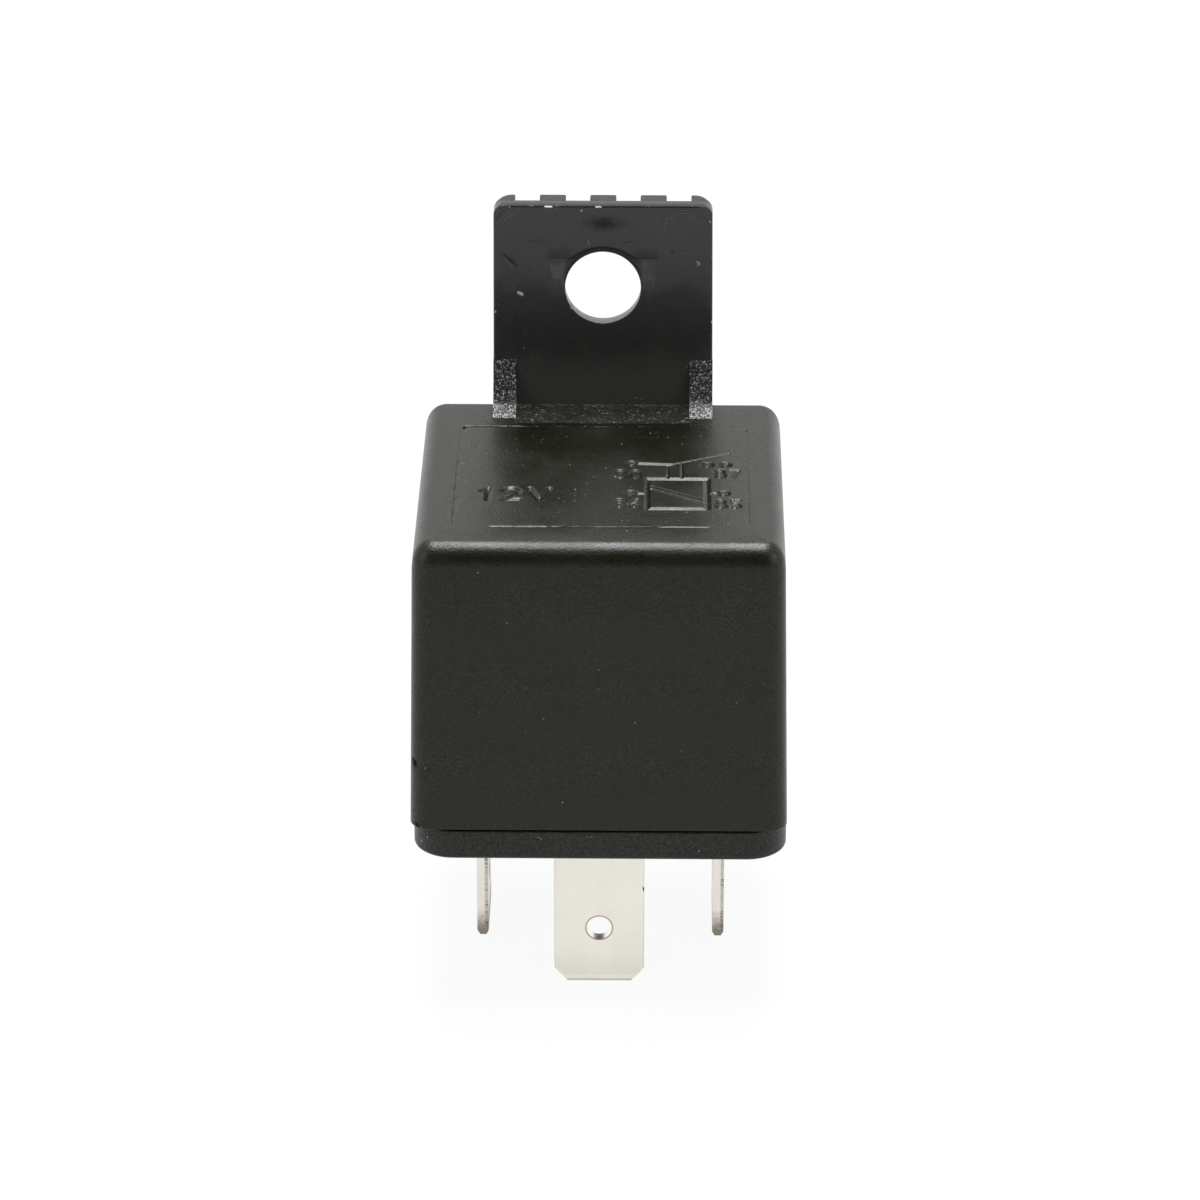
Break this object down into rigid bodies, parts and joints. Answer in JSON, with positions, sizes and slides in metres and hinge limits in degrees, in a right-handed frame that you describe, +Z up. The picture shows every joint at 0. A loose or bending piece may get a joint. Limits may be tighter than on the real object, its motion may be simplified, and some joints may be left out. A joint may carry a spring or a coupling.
{
  "type": "automotive relay",
  "caption": "Box-shaped plug-in relay with a ribbed fixing tab, flat blade terminals and a clapper armature that closes a normally open contact.",
  "frame": {"origin": "on the upright centreline of the body, in the plane of the blade tips", "axes": "+Z up, from the blades to the fixing tab; +Y to the back, where the fixing tab stands; +X to the right seen from the front"},
  "size_m": [0.026, 0.027, 0.0505],
  "materials": {
    "black_plastic": "moulded, satin, faintly rubbed",
    "base_plastic": "moulded, satin",
    "tinned_brass": "stamped strip, dull tin plating",
    "yoke_steel": "stamped, zinc plated",
    "core_steel": "turned, bright",
    "bobbin_plastic": "moulded, natural",
    "copper_wire": "enamelled",
    "tape": "thin film",
    "spring_bronze": "rolled strip",
    "contact_metal": "polished",
    "rivet_steel": "upset, plated"
  },
  "bodies": {
    "relay": {"cover": "black_plastic", "base": "base_plastic", "terminal_30": "tinned_brass", "terminal_85": "tinned_brass", "terminal_86": "tinned_brass", "terminal_87": "tinned_brass", "yoke": "yoke_steel", "core": "core_steel", "bobbin": "bobbin_plastic", "coil_winding": "copper_wire", "coil_tape": "tape", "coil_lead_start": "copper_wire", "coil_lead_end": "copper_wire", "fixed_contact": "contact_metal", "spring_rivets": "rivet_steel", "rest_stop": "yoke_steel"},
    "clapper": {"armature": "yoke_steel", "contact_spring": "spring_bronze", "moving_contact": "contact_metal", "armature_rivets": "rivet_steel"}
  },
  "joints": [
    {"name": "armature_hinge", "type": "hinge", "parent": "relay", "child": "clapper", "pos_m": [0, 0.01013, 0.02973], "axis": [1, 0, 0], "range_deg": [0, 3.4], "stiffness_Nm_per_rad": 0.05, "springref_deg": -5.73, "deforming": ["contact_spring"]}
  ]
}
